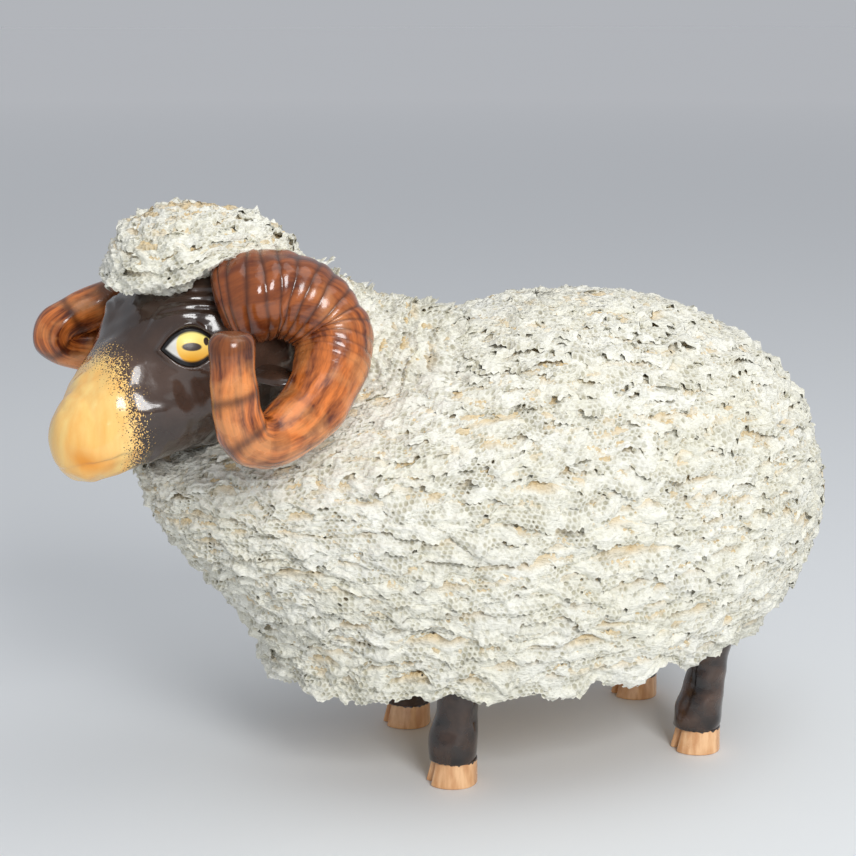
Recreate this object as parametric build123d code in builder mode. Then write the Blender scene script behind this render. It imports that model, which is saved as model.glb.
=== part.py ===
"""A glazed ceramic ram with a fleece of stiffened lace, as the separate pieces it is joined from.

Millimetres, +Z up. The nose points along -X and the ram's left side faces -Y.
The origin is on the ground, under the middle of the whole figure.
"""

import os
from math import cos, pi, radians, sin

from build123d import *

os.makedirs("parts", exist_ok=True)

# The stance
midline_y = 5.0
front_hoof_x = -11.4
rear_hoof_x = 80.5
hoof_spread = 53.2

# The fleece form, an egg-shaped barrel sliced by rows that rise a little to the rear
row_slope = 2.6
barrel_middle = 33.0
barrel_half_width = 66.0
rump_reach = 109.5
ruff_reach = 141.0
hem_reach = 104.0
hem_height = 41.0
girth_height = 85.0
ruff_height = 116.0
back_height = 162.0
flank_fall = 92.0
rump_fall = 62.0
flank_power = 2.15
shoulder_power = 1.3

# The rows of lace
rows_below_girth = 3
rows_above_girth = 6
row_angle = 12.0
row_lap = 0.3
lace_wall = 2.2
lace_flare = 4.8
seat_gap = 0.8
fleece_depth = seat_gap + lace_flare + lace_wall
back_shares = (0, 0.5, 0.93)
back_lining_share = 0.8

# The hollow body, and the film of glaze between pieces that were fired together
belly_height = 48.0
core_crown_gap = 0.8
core_wall = 6.0
vent_radius = 1.6
vent_x = 34.0
glaze_gap = 0.3

# The neck, a leaning oval tube
withers_x = -30.0
withers_height = 122.0
neck_lean = 31.0
neck_length = 66.0
neck_tall_rear = 41.0
neck_tall_front = 36.0
neck_wide_rear = 28.0
neck_wide_front = 26.0
neck_wall = 6.0
collar_count = 3
collar_pitch = 17.0
collar_front = 54.0

# The head, turned towards the ram's left
head_turn = 23.0
poll_x = -70.0
head_wall = 6.0
nape_forward = -6.0
nape_half_width = 19.0
nape_half_height = 20.0
poll_forward = 4.0
poll_half_width = 25.0
poll_half_height = 28.0
crown_forward = 17.0
crown_half_width = 28.0
crown_half_height = 32.5
brow_forward = 32.0
brow_half_width = 26.5
brow_half_height = 30.0
eye_line_forward = 43.0
eye_line_half_width = 22.5
eye_line_half_height = 25.5
bridge_forward = 53.0
bridge_half_width = 17.5
bridge_half_height = 19.5
muzzle_forward = 62.0
muzzle_half_width = 15.5
muzzle_half_height = 15.2
lip_forward = 69.0
lip_half_width = 12.0
lip_half_height = 10.8
nose_forward = 73.0
nose_half_width = 6.5
nose_half_height = 5.5
jaw_height = 118.5
jaw_rise = 5.0
nose_lift = 3.0

# The eyes
eye_forward = 41.5
eye_height = 158.0
eye_side = 21.0
eye_look_forward = 0.35
eye_look_up = 0.3
eye_long = 19.0
eye_tall = 10.5
eye_tilt = 8.0
eye_sink = 4.0
eye_plug = 8.0
eye_bore = 12.0
eye_dome = 13.0
eye_proud = 1.6
eye_gap = 0.15

# The horns, ridged spirals that open outwards
horn_middle_forward = 22.0
horn_middle_height = 151.0
horn_reach_long = 23.0
horn_reach_tall = 20.0
horn_root_turn = -18.0
horn_tip_turn = 300.0
horn_root_side = 23.0
horn_tip_side = 54.0
horn_spread_power = 2.6
horn_root_radius = 16.5
horn_tip_radius = 8.0
horn_ridges = 9
horn_ridge_depth = 1.4
horn_ridge_fade = 0.6
horn_tip_shape = ((0.6, 0.8), (0.9, 0.44))
horn_probe = 0.01

# The ears, small leaves inside the horns' curls
ear_forward = 21.0
ear_height = 149.0
ear_root_side = 23.0
ear_tip_forward = 12.5
ear_tip_height = 146.0
ear_tip_side = 40.0
ear_width = 13.0
ear_thick = 5.0
ear_shape = ((0, 0.7), (0.45, 1), (0.8, 0.7), (1, 0.2))

# The topknot on the poll
topknot_forward = 24.0
topknot_half_long = 32.0
topknot_half_wide = 27.0
topknot_low = 170.0
topknot_top = 199.0
topknot_power = 2.4
topknot_shares = (0, 0.45, 0.8, 0.97)

# The legs and cloven hooves
leg_top_long = 19.0
leg_top_wide = 17.0
leg_knee_long = 14.5
leg_knee_wide = 13.5
pastern_long = 12.5
pastern_wide = 12.0
fetlock_long = 15.0
fetlock_wide = 14.0
fetlock_height = 15.0
pastern_height = 25.0
knee_height = 38.0
front_leg_lean = 1.0
rear_leg_lean = 4.0
hoof_height = 9.0
hoof_toe = 10.5
hoof_heel = 7.5
hoof_half_width = 8.6
hoof_top_share = 0.86
cleft_width = 1.8
cleft_depth = 8.5

# The tail, a short flap on the rump
tail_top_height = 88.0
tail_hem_height = 52.0
tail_half_width = 11.0
tail_thick = 4.0
tail_shape = ((0, 0.55), (0.22, 0.85), (0.78, 1), (1, 0.8))


def swell(rise, half_height, power):
    """The share of its full reach that an oval keeps at a height above its girth."""
    return max(1 - (rise / half_height) ** power, 0) ** (1 / power)


def egg_face(plane, front, rear, half_width, middle=0.0):
    """An egg-shaped face of two half ovals that meet at its widest place, its rear along +X."""
    with BuildSketch(plane) as face:
        with BuildLine():
            EllipticalCenterArc((middle, 0), rear, half_width, -90, arc_size=180)
            EllipticalCenterArc((middle, 0), front, half_width, 90, arc_size=180)
        make_face()
    return face.sketch


def oval_face(plane, half_x, half_y):
    """An elliptical face centred on its plane."""
    with BuildSketch(plane) as face:
        Ellipse(half_x, half_y)
    return face.sketch


def skinned(sections):
    """A solid with straight sides from each section to the next."""
    with BuildPart() as form:
        loft(sections, ruled=True)
    return form.part


# The fleece's slicing planes and outlines
row_plane = Plane(
    origin=(0, midline_y, 0),
    x_dir=(cos(radians(row_slope)), 0, sin(radians(row_slope))),
    z_dir=(-sin(radians(row_slope)), 0, cos(radians(row_slope))),
)
row_count = rows_below_girth + rows_above_girth


def row_face(height, inset):
    """The fleece form's outline at one height, inset from its outer face."""
    if height > girth_height:
        flank = swell(height - girth_height, back_height - inset - girth_height, flank_power)
        rump = flank
    else:
        flank = swell(girth_height - height, flank_fall, flank_power)
        rump = swell(girth_height - height, rump_fall, flank_power)
    if height > ruff_height:
        rise = height - ruff_height
        front = (ruff_reach - inset) * swell(rise, back_height - inset - ruff_height, shoulder_power)
    else:
        chest = (1 + cos(pi * (ruff_height - height) / (ruff_height - hem_height))) / 2
        front = hem_reach + (ruff_reach - hem_reach) * chest - inset
    rear = (rump_reach - inset) * rump
    half_width = (barrel_half_width - inset) * flank
    return egg_face(row_plane.offset(height), front, rear, half_width, barrel_middle)


def row_height(row):
    """Height at which a row's hem meets the body: even below the girth, then by equal turns."""
    if row <= rows_below_girth:
        return hem_height + row * (girth_height - hem_height) / rows_below_girth
    climb = radians(row_angle * (row - rows_below_girth))
    return girth_height + (back_height - fleece_depth - girth_height) * sin(climb)


def lace_inset(share):
    """Inset of a strip's inner face, from its sewn edge (0) to its flared hem (1)."""
    return fleece_depth - seat_gap - lace_flare * share


# The head's own directions and vertical section planes
forward = Vector(-cos(radians(head_turn)), -sin(radians(head_turn)), 0)
side = Vector(sin(radians(head_turn)), -cos(radians(head_turn)), 0)
upward = Vector(0, 0, 1)


def head_point(ahead, left, height):
    """A point given by its distance ahead of the poll, left of the middle and above the ground."""
    base = Vector(poll_x, midline_y, height)
    return base + forward * ahead + side * left


sagittal_plane = Plane(origin=head_point(0, 0, 0), x_dir=forward, z_dir=side)


def head_section(ahead, half_width, half_height, lift=0.0, grow=0.0):
    """One upright oval of the head, standing on the line of the jaw."""
    jaw = jaw_height + jaw_rise * (1 - ahead / muzzle_forward) + lift
    plane = Plane(origin=head_point(ahead, 0, jaw + half_height), x_dir=side, z_dir=forward)
    return oval_face(plane, half_width + grow, half_height + grow)


head_sizes = [
    (nape_forward, nape_half_width, nape_half_height, poll_half_height - nape_half_height),
    (poll_forward, poll_half_width, poll_half_height, nose_lift),
    (crown_forward, crown_half_width, crown_half_height, 0),
    (brow_forward, brow_half_width, brow_half_height, 0),
    (eye_line_forward, eye_line_half_width, eye_line_half_height, 0),
    (bridge_forward, bridge_half_width, bridge_half_height, 0),
    (muzzle_forward, muzzle_half_width, muzzle_half_height, 0),
    (lip_forward, lip_half_width, lip_half_height, nose_lift / 2),
    (nose_forward, nose_half_width, nose_half_height, 2 * nose_lift),
]
head_form = skinned([head_section(*size) for size in head_sizes])
head_room = skinned([head_section(*size, glaze_gap) for size in head_sizes])

# Body core, the hollow barrel under the lace
core_crown = back_height - fleece_depth - core_crown_gap
core_heights = [belly_height] + [row_height(row) for row in range(1, row_count + 1)] + [core_crown]
core_form = skinned([row_face(height, fleece_depth) for height in core_heights])
core_room = skinned([row_face(height, fleece_depth - glaze_gap) for height in core_heights])

hollow_heights = [belly_height + core_wall, girth_height, row_height(row_count - 2)]
with BuildPart() as body_core:
    add(core_form)
    hollow = skinned([row_face(height, fleece_depth + core_wall) for height in hollow_heights])
    add(hollow, mode=Mode.SUBTRACT)
    with BuildSketch(row_plane.offset(belly_height)):
        with Locations((vent_x, 0)):
            Circle(vent_radius)
    extrude(amount=2 * core_wall, mode=Mode.SUBTRACT)
    add(head_room, mode=Mode.SUBTRACT)
body_core.part.label = "body_core"
export_step(body_core.part, "parts/body_core.step")

# Horns, ridged spirals butted on the head


def horn_place(share):
    """The middle of a horn, from its root (0) to its tip (1)."""
    turn = radians(horn_root_turn + (horn_tip_turn - horn_root_turn) * share)
    left = horn_root_side + (horn_tip_side - horn_root_side) * (1 - abs(1 - share) ** horn_spread_power)
    return head_point(
        horn_middle_forward - horn_reach_long * sin(turn),
        left,
        horn_middle_height + horn_reach_tall * cos(turn),
    )


def horn_section(share, radius):
    """A round section square to a horn's path."""
    along = (horn_place(share + horn_probe) - horn_place(share - horn_probe)).normalized()
    across = side - along * side.dot(along)
    plane = Plane(origin=horn_place(share), x_dir=across.normalized(), z_dir=along)
    return oval_face(plane, radius, radius)


def horn_sections(extra, ridge_depth):
    """Sections along a horn, every second one drawn in to a growth groove."""
    sections = []
    for step in range(2 * horn_ridges + 1):
        share = step / (2 * horn_ridges)
        groove = ridge_depth * (1 - horn_ridge_fade * share) * (step % 2)
        radius = horn_root_radius * (horn_tip_radius / horn_root_radius) ** share
        sections.append(horn_section(share, radius + extra - groove))
    return sections


tip_round = horn_tip_radius / (2 * pi * horn_reach_long)
tip_sections = [
    horn_section(1 + tip_round * reach, horn_tip_radius * width) for reach, width in horn_tip_shape
]
ridged_sections = horn_sections(0, horn_ridge_depth) + tip_sections
with BuildPart() as left_horn:
    for first in range(0, 2 * horn_ridges + 1, 2):
        add(skinned(ridged_sections[first : first + 3]))
    add(head_room, mode=Mode.SUBTRACT)
left_horn.part.label = "left_horn"
export_step(left_horn.part, "parts/left_horn.step")

with BuildPart() as right_horn:
    mirror(left_horn.part, about=sagittal_plane)
right_horn.part.label = "right_horn"
export_step(right_horn.part, "parts/right_horn.step")

plain_sections = horn_sections(glaze_gap, 0)
with BuildPart() as horn_room:
    for first in range(0, 2 * horn_ridges, 2):
        add(skinned(plain_sections[first : first + 3]))
    mirror(about=sagittal_plane)

# Eyes, domed plugs let into almond sockets


def eye_plane(hand):
    """The plane of an eye's floor; hand is 1 on the ram's left and -1 on its right."""
    outward = (side * hand + forward * eye_look_forward + upward * eye_look_up).normalized()
    flat = (forward - outward * forward.dot(outward)).normalized()
    seat = head_point(eye_forward, hand * eye_side, eye_height) - outward * eye_sink
    return Plane(origin=seat, x_dir=flat, z_dir=outward)


def almond(plane, hand, grow):
    """An almond outline drawn from two arcs."""
    half_long = eye_long / 2 + grow
    half_tall = eye_tall / 2 + grow
    with BuildSketch(plane) as outline:
        with BuildLine(Rotation(0, 0, -hand * eye_tilt)):
            ThreePointArc((-half_long, 0), (0, half_tall), (half_long, 0))
            ThreePointArc((half_long, 0), (0, -half_tall), (-half_long, 0))
        make_face()
    return outline.sketch


with BuildPart() as head_shell:
    add(head_form)
    for hand in (1, -1):
        extrude(almond(eye_plane(hand), hand, eye_gap), amount=eye_bore, mode=Mode.SUBTRACT)
    hollow_sizes = [
        (ahead, half_width - head_wall, half_height - head_wall, lift + head_wall)
        for ahead, half_width, half_height, lift in head_sizes[2:5]
    ]
    add(skinned([head_section(*size) for size in hollow_sizes]), mode=Mode.SUBTRACT)
head_shell.part.label = "head_shell"
export_step(head_shell.part, "parts/head_shell.step")

for hand, name in ((1, "left_eye"), (-1, "right_eye")):
    dome_centre = eye_plane(hand).offset(eye_sink + eye_proud - eye_dome).origin
    with BuildPart() as eye:
        extrude(almond(eye_plane(hand), hand, 0), amount=eye_plug)
        with Locations(dome_centre):
            Sphere(eye_dome, mode=Mode.INTERSECT)
    eye.part.label = name
    export_step(eye.part, f"parts/{name}.step")

# Neck core, a leaning oval tube between body and head
neck_plane = Plane(
    origin=(withers_x, midline_y, withers_height),
    x_dir=(sin(radians(neck_lean)), 0, cos(radians(neck_lean))),
    z_dir=(-cos(radians(neck_lean)), 0, sin(radians(neck_lean))),
)


def neck_face(along, inset):
    """The neck fleece's outline at one distance from the withers."""
    share = along / neck_length
    tall = neck_tall_rear + (neck_tall_front - neck_tall_rear) * share - inset
    wide = neck_wide_rear + (neck_wide_front - neck_wide_rear) * share - inset
    return oval_face(neck_plane.offset(along), tall, wide)


with BuildPart() as neck_core:
    add(skinned([neck_face(along, fleece_depth) for along in (0, neck_length)]))
    bore = skinned([neck_face(along, fleece_depth + neck_wall) for along in (0, neck_length)])
    add(bore, mode=Mode.SUBTRACT)
    add(core_room, mode=Mode.SUBTRACT)
    add(head_room, mode=Mode.SUBTRACT)
neck_core.part.label = "neck_core"
export_step(neck_core.part, "parts/neck_core.step")

# Neck collars, strips of lace round the neck, each lapping the one behind it
collar_reach = collar_pitch * (1 + row_lap)
for number in range(1, collar_count + 1):
    sewn = collar_front - collar_pitch * (number - 1)
    stops = ((sewn, 0), (sewn - collar_reach, 1))
    with BuildPart() as collar:
        add(skinned([neck_face(along, lace_inset(share) - lace_wall) for along, share in stops]))
        lining = skinned([neck_face(along, lace_inset(share)) for along, share in stops])
        add(lining, mode=Mode.SUBTRACT)
        add(core_room, mode=Mode.SUBTRACT)
        add(head_room, mode=Mode.SUBTRACT)
    collar.part.label = f"neck_collar_{number}"
    export_step(collar.part, f"parts/neck_collar_{number}.step")

# The room that the neck's collars take out of the pieces round them
neck_room = skinned([neck_face(along, -seat_gap) for along in (-collar_pitch, neck_length)])

# Topknot, a tuft of lace over the poll


def topknot_face(share):
    """The topknot's outline at a share of its rise."""
    height = topknot_low + (topknot_top - topknot_low) * share
    spread = swell(share, 1, topknot_power)
    plane = Plane(origin=head_point(topknot_forward, 0, height), x_dir=-forward, z_dir=upward)
    return oval_face(plane, topknot_half_long * spread, topknot_half_wide * spread)


with BuildPart() as topknot:
    add(skinned([topknot_face(share) for share in topknot_shares]))
    add(head_room, mode=Mode.SUBTRACT)
    add(horn_room.part, mode=Mode.SUBTRACT)
    add(neck_room, mode=Mode.SUBTRACT)
topknot.part.label = "topknot"
export_step(topknot.part, "parts/topknot.step")

# Fleece rows round the body, each lapping the row below it


def row_form(number, inset):
    """A strip's form, from its flared hem up to its sewn edge, filled to the middle."""
    hem = number - 1
    stops = ((row_height(hem), 1), (row_height(hem + 1 + row_lap), 0))
    return skinned([row_face(height, lace_inset(share) + inset) for height, share in stops])


for number in range(1, row_count + 1):
    with BuildPart() as tier:
        add(row_form(number, -lace_wall))
        add(row_form(number, 0), mode=Mode.SUBTRACT)
        if row_height(number - 1) < ruff_height < row_height(number):
            add(row_form(number - 1, -lace_wall - glaze_gap), mode=Mode.SUBTRACT)
        add(neck_room, mode=Mode.SUBTRACT)
        add(head_room, mode=Mode.SUBTRACT)
    tier.part.label = f"fleece_row_{number}"
    export_step(tier.part, f"parts/fleece_row_{number}.step")

# Back fleece, the last strip along the spine
back_hem = row_height(row_count)
back_inset = lace_inset(1) - lace_wall
back_rise = back_height - back_inset - back_hem
with BuildPart() as back_fleece:
    add(skinned([row_face(back_hem + back_rise * share, back_inset) for share in back_shares]))
    lining = [
        row_face(back_hem, lace_inset(1)),
        row_face((back_hem + core_crown) / 2, lace_inset(back_lining_share)),
        row_face(core_crown, lace_inset(0)),
    ]
    add(skinned(lining), mode=Mode.SUBTRACT)
    add(neck_room, mode=Mode.SUBTRACT)
back_fleece.part.label = "back_fleece"
export_step(back_fleece.part, "parts/back_fleece.step")

# Tail, a short flap that hangs on the rump
fleece_heights = [row_height(row) for row in range(rows_below_girth + 2)]
fleece_room = skinned([row_face(height, -seat_gap) for height in fleece_heights])
tail_slices = []
for share, width in tail_shape:
    height = tail_top_height + (tail_hem_height - tail_top_height) * share
    root = barrel_middle + rump_reach * swell(abs(girth_height - height), rump_fall, flank_power)
    half_width = tail_half_width * width
    tail_slices.append(egg_face(row_plane.offset(height), half_width, tail_thick * width, half_width, root))
with BuildPart() as tail:
    add(skinned(tail_slices))
    add(fleece_room, mode=Mode.SUBTRACT)
tail.part.label = "tail"
export_step(tail.part, "parts/tail.step")

# Ears, leaves that leave the head inside the horns' curls
ear_root = head_point(ear_forward, ear_root_side, ear_height)
ear_axis = head_point(ear_tip_forward, ear_tip_side, ear_tip_height) - ear_root
leaf_sections = []
for share, width in ear_shape:
    leaf_plane = Plane(
        origin=ear_root + ear_axis * share,
        x_dir=ear_axis.cross(forward).normalized(),
        z_dir=ear_axis,
    )
    leaf_sections.append(oval_face(leaf_plane, ear_thick / 2 * width, ear_width / 2 * width))
with BuildPart() as left_ear:
    add(skinned(leaf_sections))
    add(head_room, mode=Mode.SUBTRACT)
    add(horn_room.part, mode=Mode.SUBTRACT)
left_ear.part.label = "left_ear"
export_step(left_ear.part, "parts/left_ear.step")

with BuildPart() as right_ear:
    mirror(left_ear.part, about=sagittal_plane)
right_ear.part.label = "right_ear"
export_step(right_ear.part, "parts/right_ear.step")

# Legs and hooves
corners = {
    "front_left": (front_hoof_x, -1, front_leg_lean),
    "front_right": (front_hoof_x, 1, front_leg_lean),
    "rear_left": (rear_hoof_x, -1, rear_leg_lean),
    "rear_right": (rear_hoof_x, 1, rear_leg_lean),
}
belly_plane = row_plane.offset(belly_height)
leg_sizes = [
    (hoof_height, fetlock_long, fetlock_wide),
    (fetlock_height, fetlock_long, fetlock_wide),
    (pastern_height, pastern_long, pastern_wide),
    (knee_height, leg_knee_long, leg_knee_wide),
]
for name, (hoof_x, hand, lean) in corners.items():
    hoof_y = midline_y + hand * hoof_spread / 2
    leg_sections = []
    for height, long, wide in leg_sizes:
        lean_x = hoof_x + lean * (height - hoof_height) / (belly_height - hoof_height)
        leg_sections.append(oval_face(Plane((lean_x, hoof_y, height)), long / 2, wide / 2))
    hip_plane = Plane(
        origin=belly_plane.from_local_coords((hoof_x + lean, hand * hoof_spread / 2, 0)),
        x_dir=belly_plane.x_dir,
        z_dir=belly_plane.z_dir,
    )
    leg_sections.append(oval_face(hip_plane, leg_top_long / 2, leg_top_wide / 2))
    with BuildPart() as leg:
        add(skinned(leg_sections))
    leg.part.label = f"{name}_leg"
    export_step(leg.part, f"parts/{name}_leg.step")

    outlines = []
    for height, share in ((0, 1), (hoof_height, hoof_top_share)):
        hoof_plane = Plane((hoof_x, hoof_y, height))
        outlines.append(egg_face(hoof_plane, hoof_toe * share, hoof_heel * share, hoof_half_width * share))
    with BuildPart() as hoof:
        add(skinned(outlines))
        with BuildSketch(Plane((hoof_x - hoof_toe, hoof_y, 0))):
            Rectangle(2 * cleft_depth, cleft_width)
        extrude(amount=hoof_height, mode=Mode.SUBTRACT)
    hoof.part.label = f"{name}_hoof"
    export_step(hoof.part, f"parts/{name}_hoof.step")
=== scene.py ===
# %% [markdown]
# # A glazed ceramic ram in a fleece of lace
# The figurine is a fired clay ram. Its wool is net lace that was dipped in slip and laid on in rows.
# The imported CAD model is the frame: every piece made here stands where one of its solids stands.

from math import cos, pi, radians, sin

import bpy
import numpy as np
from mathutils import Matrix, Vector


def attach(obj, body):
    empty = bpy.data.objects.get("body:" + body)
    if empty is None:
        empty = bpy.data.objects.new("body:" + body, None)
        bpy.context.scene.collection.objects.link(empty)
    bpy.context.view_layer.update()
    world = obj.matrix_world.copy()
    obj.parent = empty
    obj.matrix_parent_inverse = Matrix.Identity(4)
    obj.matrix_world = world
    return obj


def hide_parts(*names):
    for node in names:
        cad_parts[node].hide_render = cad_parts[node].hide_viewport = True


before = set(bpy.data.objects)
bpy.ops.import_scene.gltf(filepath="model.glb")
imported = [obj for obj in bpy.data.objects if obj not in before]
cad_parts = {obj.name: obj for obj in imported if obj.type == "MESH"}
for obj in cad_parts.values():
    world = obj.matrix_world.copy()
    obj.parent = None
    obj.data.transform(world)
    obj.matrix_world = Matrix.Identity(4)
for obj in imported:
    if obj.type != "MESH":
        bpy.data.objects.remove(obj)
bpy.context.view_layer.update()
print("solids in the frame:", len(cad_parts))

# %% [markdown]
# ## The camera
# The photograph looks down a little on the ram's left side, from ahead of its shoulder. A long lens keeps
# the far legs nearly as tall as the near ones, so the camera stands back and its view is narrow.

# %% Set the camera
view_turn = radians(-17.6)
view_lift = radians(13.5)
view_shift, view_rise, view_distance = -0.0261, 0.113, 0.622
view_foot = Vector((0.0145, 0.005, 0))
view_back = Vector((sin(view_turn) * cos(view_lift), -cos(view_turn) * cos(view_lift), sin(view_lift)))
view_right = Vector((cos(view_turn), sin(view_turn), 0))
view_up = view_back.cross(view_right)
view_place = view_right * view_shift + view_up * view_rise + view_back * view_distance + view_foot
camera = bpy.data.objects.new("camera", bpy.data.cameras.new("camera"))
camera.data.sensor_fit = "HORIZONTAL"
camera.data.angle = radians(28)
camera.matrix_world = (
    Matrix.Translation(view_place) @ Matrix((view_right, view_up, view_back)).transposed().to_4x4()
)
bpy.context.scene.collection.objects.link(camera)
bpy.context.scene.camera = camera
print("camera at", [round(value, 3) for value in view_place])

# %% [markdown]
# ## Nodes in few words
# Every finish below is a small tree of shader nodes. Five helpers keep the trees short to read: they add a
# node, set a socket, mix two colours, stretch a range, and read a value painted on the mesh.


# %% Helpers for shader nodes
def add_node(tree, kind, **inputs):
    """A new shader node with some of its inputs set or linked."""
    node = tree.nodes.new("ShaderNode" + kind)
    for name, value in inputs.items():
        plug(tree, node.inputs[name.replace("_", " ")], value)
    return node


def plug(tree, socket, value):
    """Links an output to a socket, or sets a plain value on it."""
    if isinstance(value, bpy.types.NodeSocket):
        tree.links.new(value, socket)
    else:
        socket.default_value = value


def blend_colours(tree, share, first, second):
    """A mix of two colours by a share from 0 to 1."""
    node = tree.nodes.new("ShaderNodeMix")
    node.data_type = "RGBA"
    for index, value in ((0, share), (6, first), (7, second)):
        plug(tree, node.inputs[index], value)
    return node.outputs[2]


def stretch(tree, value, low, high, to_low=0.0, to_high=1.0):
    """A value's range from low to high, stretched to a new range and cut off outside it."""
    node = add_node(tree, "MapRange", Value=value)
    for name, number in zip(("From Min", "From Max", "To Min", "To Max"), (low, high, to_low, to_high)):
        node.inputs[name].default_value = number
    return node.outputs["Result"]


def painted(tree, name):
    """A value that was painted on the mesh's points."""
    node = tree.nodes.new("ShaderNodeAttribute")
    node.attribute_name = name
    return node.outputs["Fac"]


print("helpers ready")

# %% [markdown]
# ## Two effects that several finishes share
# Fired glaze is never even: it pools darker in hollows and thins to a lighter, shinier film. Sponged colour
# ends in a cloud of dots instead of a line. Each is a node group with named sockets, so that every material
# can use it with its own values.


# %% Build the shared node groups
def new_group(name, sockets):
    """An empty shader group with the sockets listed as direction, name and kind."""
    group = bpy.data.node_groups.new(name, "ShaderNodeTree")
    for direction, label, kind in sockets:
        group.interface.new_socket(name=label, in_out=direction, socket_type="NodeSocket" + kind)
    return group, group.nodes.new("NodeGroupInput"), group.nodes.new("NodeGroupOutput")


def build_glaze_pooling():
    """Cloudy thick and thin glaze, with a share for colour, a roughness and a height."""
    group, into, out = new_group(
        "glaze_pooling",
        [("INPUT", "Cloud", "Float"), ("INPUT", "Pitting", "Float")]
        + [("OUTPUT", name, "Float") for name in ("Share", "Roughness", "Height")],
    )
    place = group.nodes.new("ShaderNodeTexCoord").outputs["Object"]
    cloud = add_node(group, "TexNoise", Vector=place, Scale=into.outputs["Cloud"], Detail=4.0)
    pits = add_node(group, "TexNoise", Vector=place, Scale=into.outputs["Pitting"], Detail=2.0)
    plug(group, out.inputs["Share"], stretch(group, cloud.outputs["Fac"], 0.32, 0.68))
    plug(group, out.inputs["Roughness"], stretch(group, cloud.outputs["Fac"], 0.3, 0.7, 0.14, 0.3))
    plug(group, out.inputs["Height"], pits.outputs["Fac"])
    return group


def build_sponged_dots():
    """A soft mask broken up into dots, as a sponge leaves it."""
    group, into, out = new_group(
        "sponged_dots",
        [("INPUT", "Mask", "Float"), ("INPUT", "Dots", "Float"), ("OUTPUT", "Mask", "Float")],
    )
    place = group.nodes.new("ShaderNodeTexCoord").outputs["Object"]
    dots = add_node(group, "TexNoise", Vector=place, Scale=into.outputs["Dots"], Detail=1.5)
    level = stretch(group, dots.outputs["Fac"], 0.3, 0.7)
    gap = group.nodes.new("ShaderNodeMath")
    gap.operation = "SUBTRACT"
    plug(group, gap.inputs[0], stretch(group, into.outputs["Mask"], 0.0, 1.0, 0.0, 1.2))
    plug(group, gap.inputs[1], level)
    plug(group, out.inputs["Mask"], stretch(group, gap.outputs[0], 0.01, 0.12))
    return group


glaze_pooling = build_glaze_pooling()
sponged_dots = build_sponged_dots()
print("groups:", glaze_pooling.name, sponged_dots.name)


# %% Start a material with its surface shader
def new_finish(name, **surface):
    """A material whose surface shader has some sockets set to plain values."""
    material = bpy.data.materials.new(name)
    material.use_nodes = True
    shader = material.node_tree.nodes["Principled BSDF"]
    for label, value in surface.items():
        shader.inputs[label.replace("_", " ")].default_value = value
    return material, material.node_tree, shader


def place_group(tree, group, **inputs):
    """A node group placed in a material with its own values."""
    node = tree.nodes.new("ShaderNodeGroup")
    node.node_tree = group
    for name, value in inputs.items():
        plug(tree, node.inputs[name], value)
    return node


def add_relief(tree, shader, height, depth):
    """Fine relief in metres from a height between 0 and 1."""
    bump = add_node(tree, "Bump", Height=height, Distance=depth)
    tree.links.new(bump.outputs["Normal"], shader.inputs["Normal"])


def glaze_surface(tree, shader, colour, pool, depth):
    """Gives a shader its colour, and the roughness and relief of pooled glaze."""
    tree.links.new(colour, shader.inputs["Base Color"])
    tree.links.new(pool.outputs["Roughness"], shader.inputs["Roughness"])
    add_relief(tree, shader, pool.outputs["Height"], depth)


def drawn_noise(tree, squeeze, scale, detail):
    """Noise squeezed along the height: under 1 it is drawn out into upright streaks."""
    place = tree.nodes.new("ShaderNodeTexCoord").outputs["Object"]
    lay = add_node(tree, "Mapping", Vector=place, Scale=(1.0, 1.0, squeeze))
    noise = add_node(tree, "TexNoise", Vector=lay.outputs["Vector"], Scale=scale, Detail=detail)
    return noise.outputs["Fac"]


print("finish helpers ready")

# %% [markdown]
# ## The floor and the light
# A pale floor and a pale surround leave the figure's own colours alone. The floor whitens with distance,
# so that no horizon shows. The photograph's shadow falls straight back from the flank, so the key hangs in
# front and above, with a weak fill overhead.


# %% Lay the floor and hang the lamps
def build_studio():
    """A floor, a surround and two large soft lamps."""
    surface = bpy.data.meshes.new("floor")
    reach = 40.0
    corners = [(-reach, -reach, 0), (reach, -reach, 0), (reach, reach, 0), (-reach, reach, 0)]
    surface.from_pydata(corners, [], [(0, 1, 2, 3)])
    floor = bpy.data.objects.new("floor", surface)
    bpy.context.scene.collection.objects.link(floor)
    finish, tree, shader = new_finish("pale_floor", Roughness=0.65)
    span = tree.nodes.new("ShaderNodeVectorMath")
    span.operation = "LENGTH"
    tree.links.new(tree.nodes.new("ShaderNodeTexCoord").outputs["Object"], span.inputs[0])
    far = stretch(tree, span.outputs["Value"], 0.7, 5.0)
    tone = blend_colours(tree, far, (0.80, 0.82, 0.83, 1), (1.0, 1.0, 1.0, 1))
    tree.links.new(tone, shader.inputs["Base Color"])
    surface.materials.append(finish)
    world = bpy.data.worlds.new("surround")
    world.use_nodes = True
    sky = world.node_tree.nodes["Background"].inputs
    sky["Color"].default_value = (0.62, 0.64, 0.68, 1)
    sky["Strength"].default_value = 0.72
    bpy.context.scene.world = world
    lamps = (("key", (0.04, -1.0, 0.72), 0.42, 8.0), ("fill", (0.35, -0.3, 1.2), 0.9, 3.2))
    figure_middle = Vector((0, 0, 0.09))
    for name, place, width, power in lamps:
        lamp = bpy.data.lights.new(name, "AREA")
        lamp.energy = power
        lamp.size = width
        holder = bpy.data.objects.new(name, lamp)
        holder.location = place
        aim = figure_middle - Vector(place)
        holder.rotation_euler = aim.to_track_quat("-Z", "Y").to_euler()
        bpy.context.scene.collection.objects.link(holder)


build_studio()
bpy.context.scene.view_settings.view_transform = "Standard"
print("studio ready")

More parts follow.
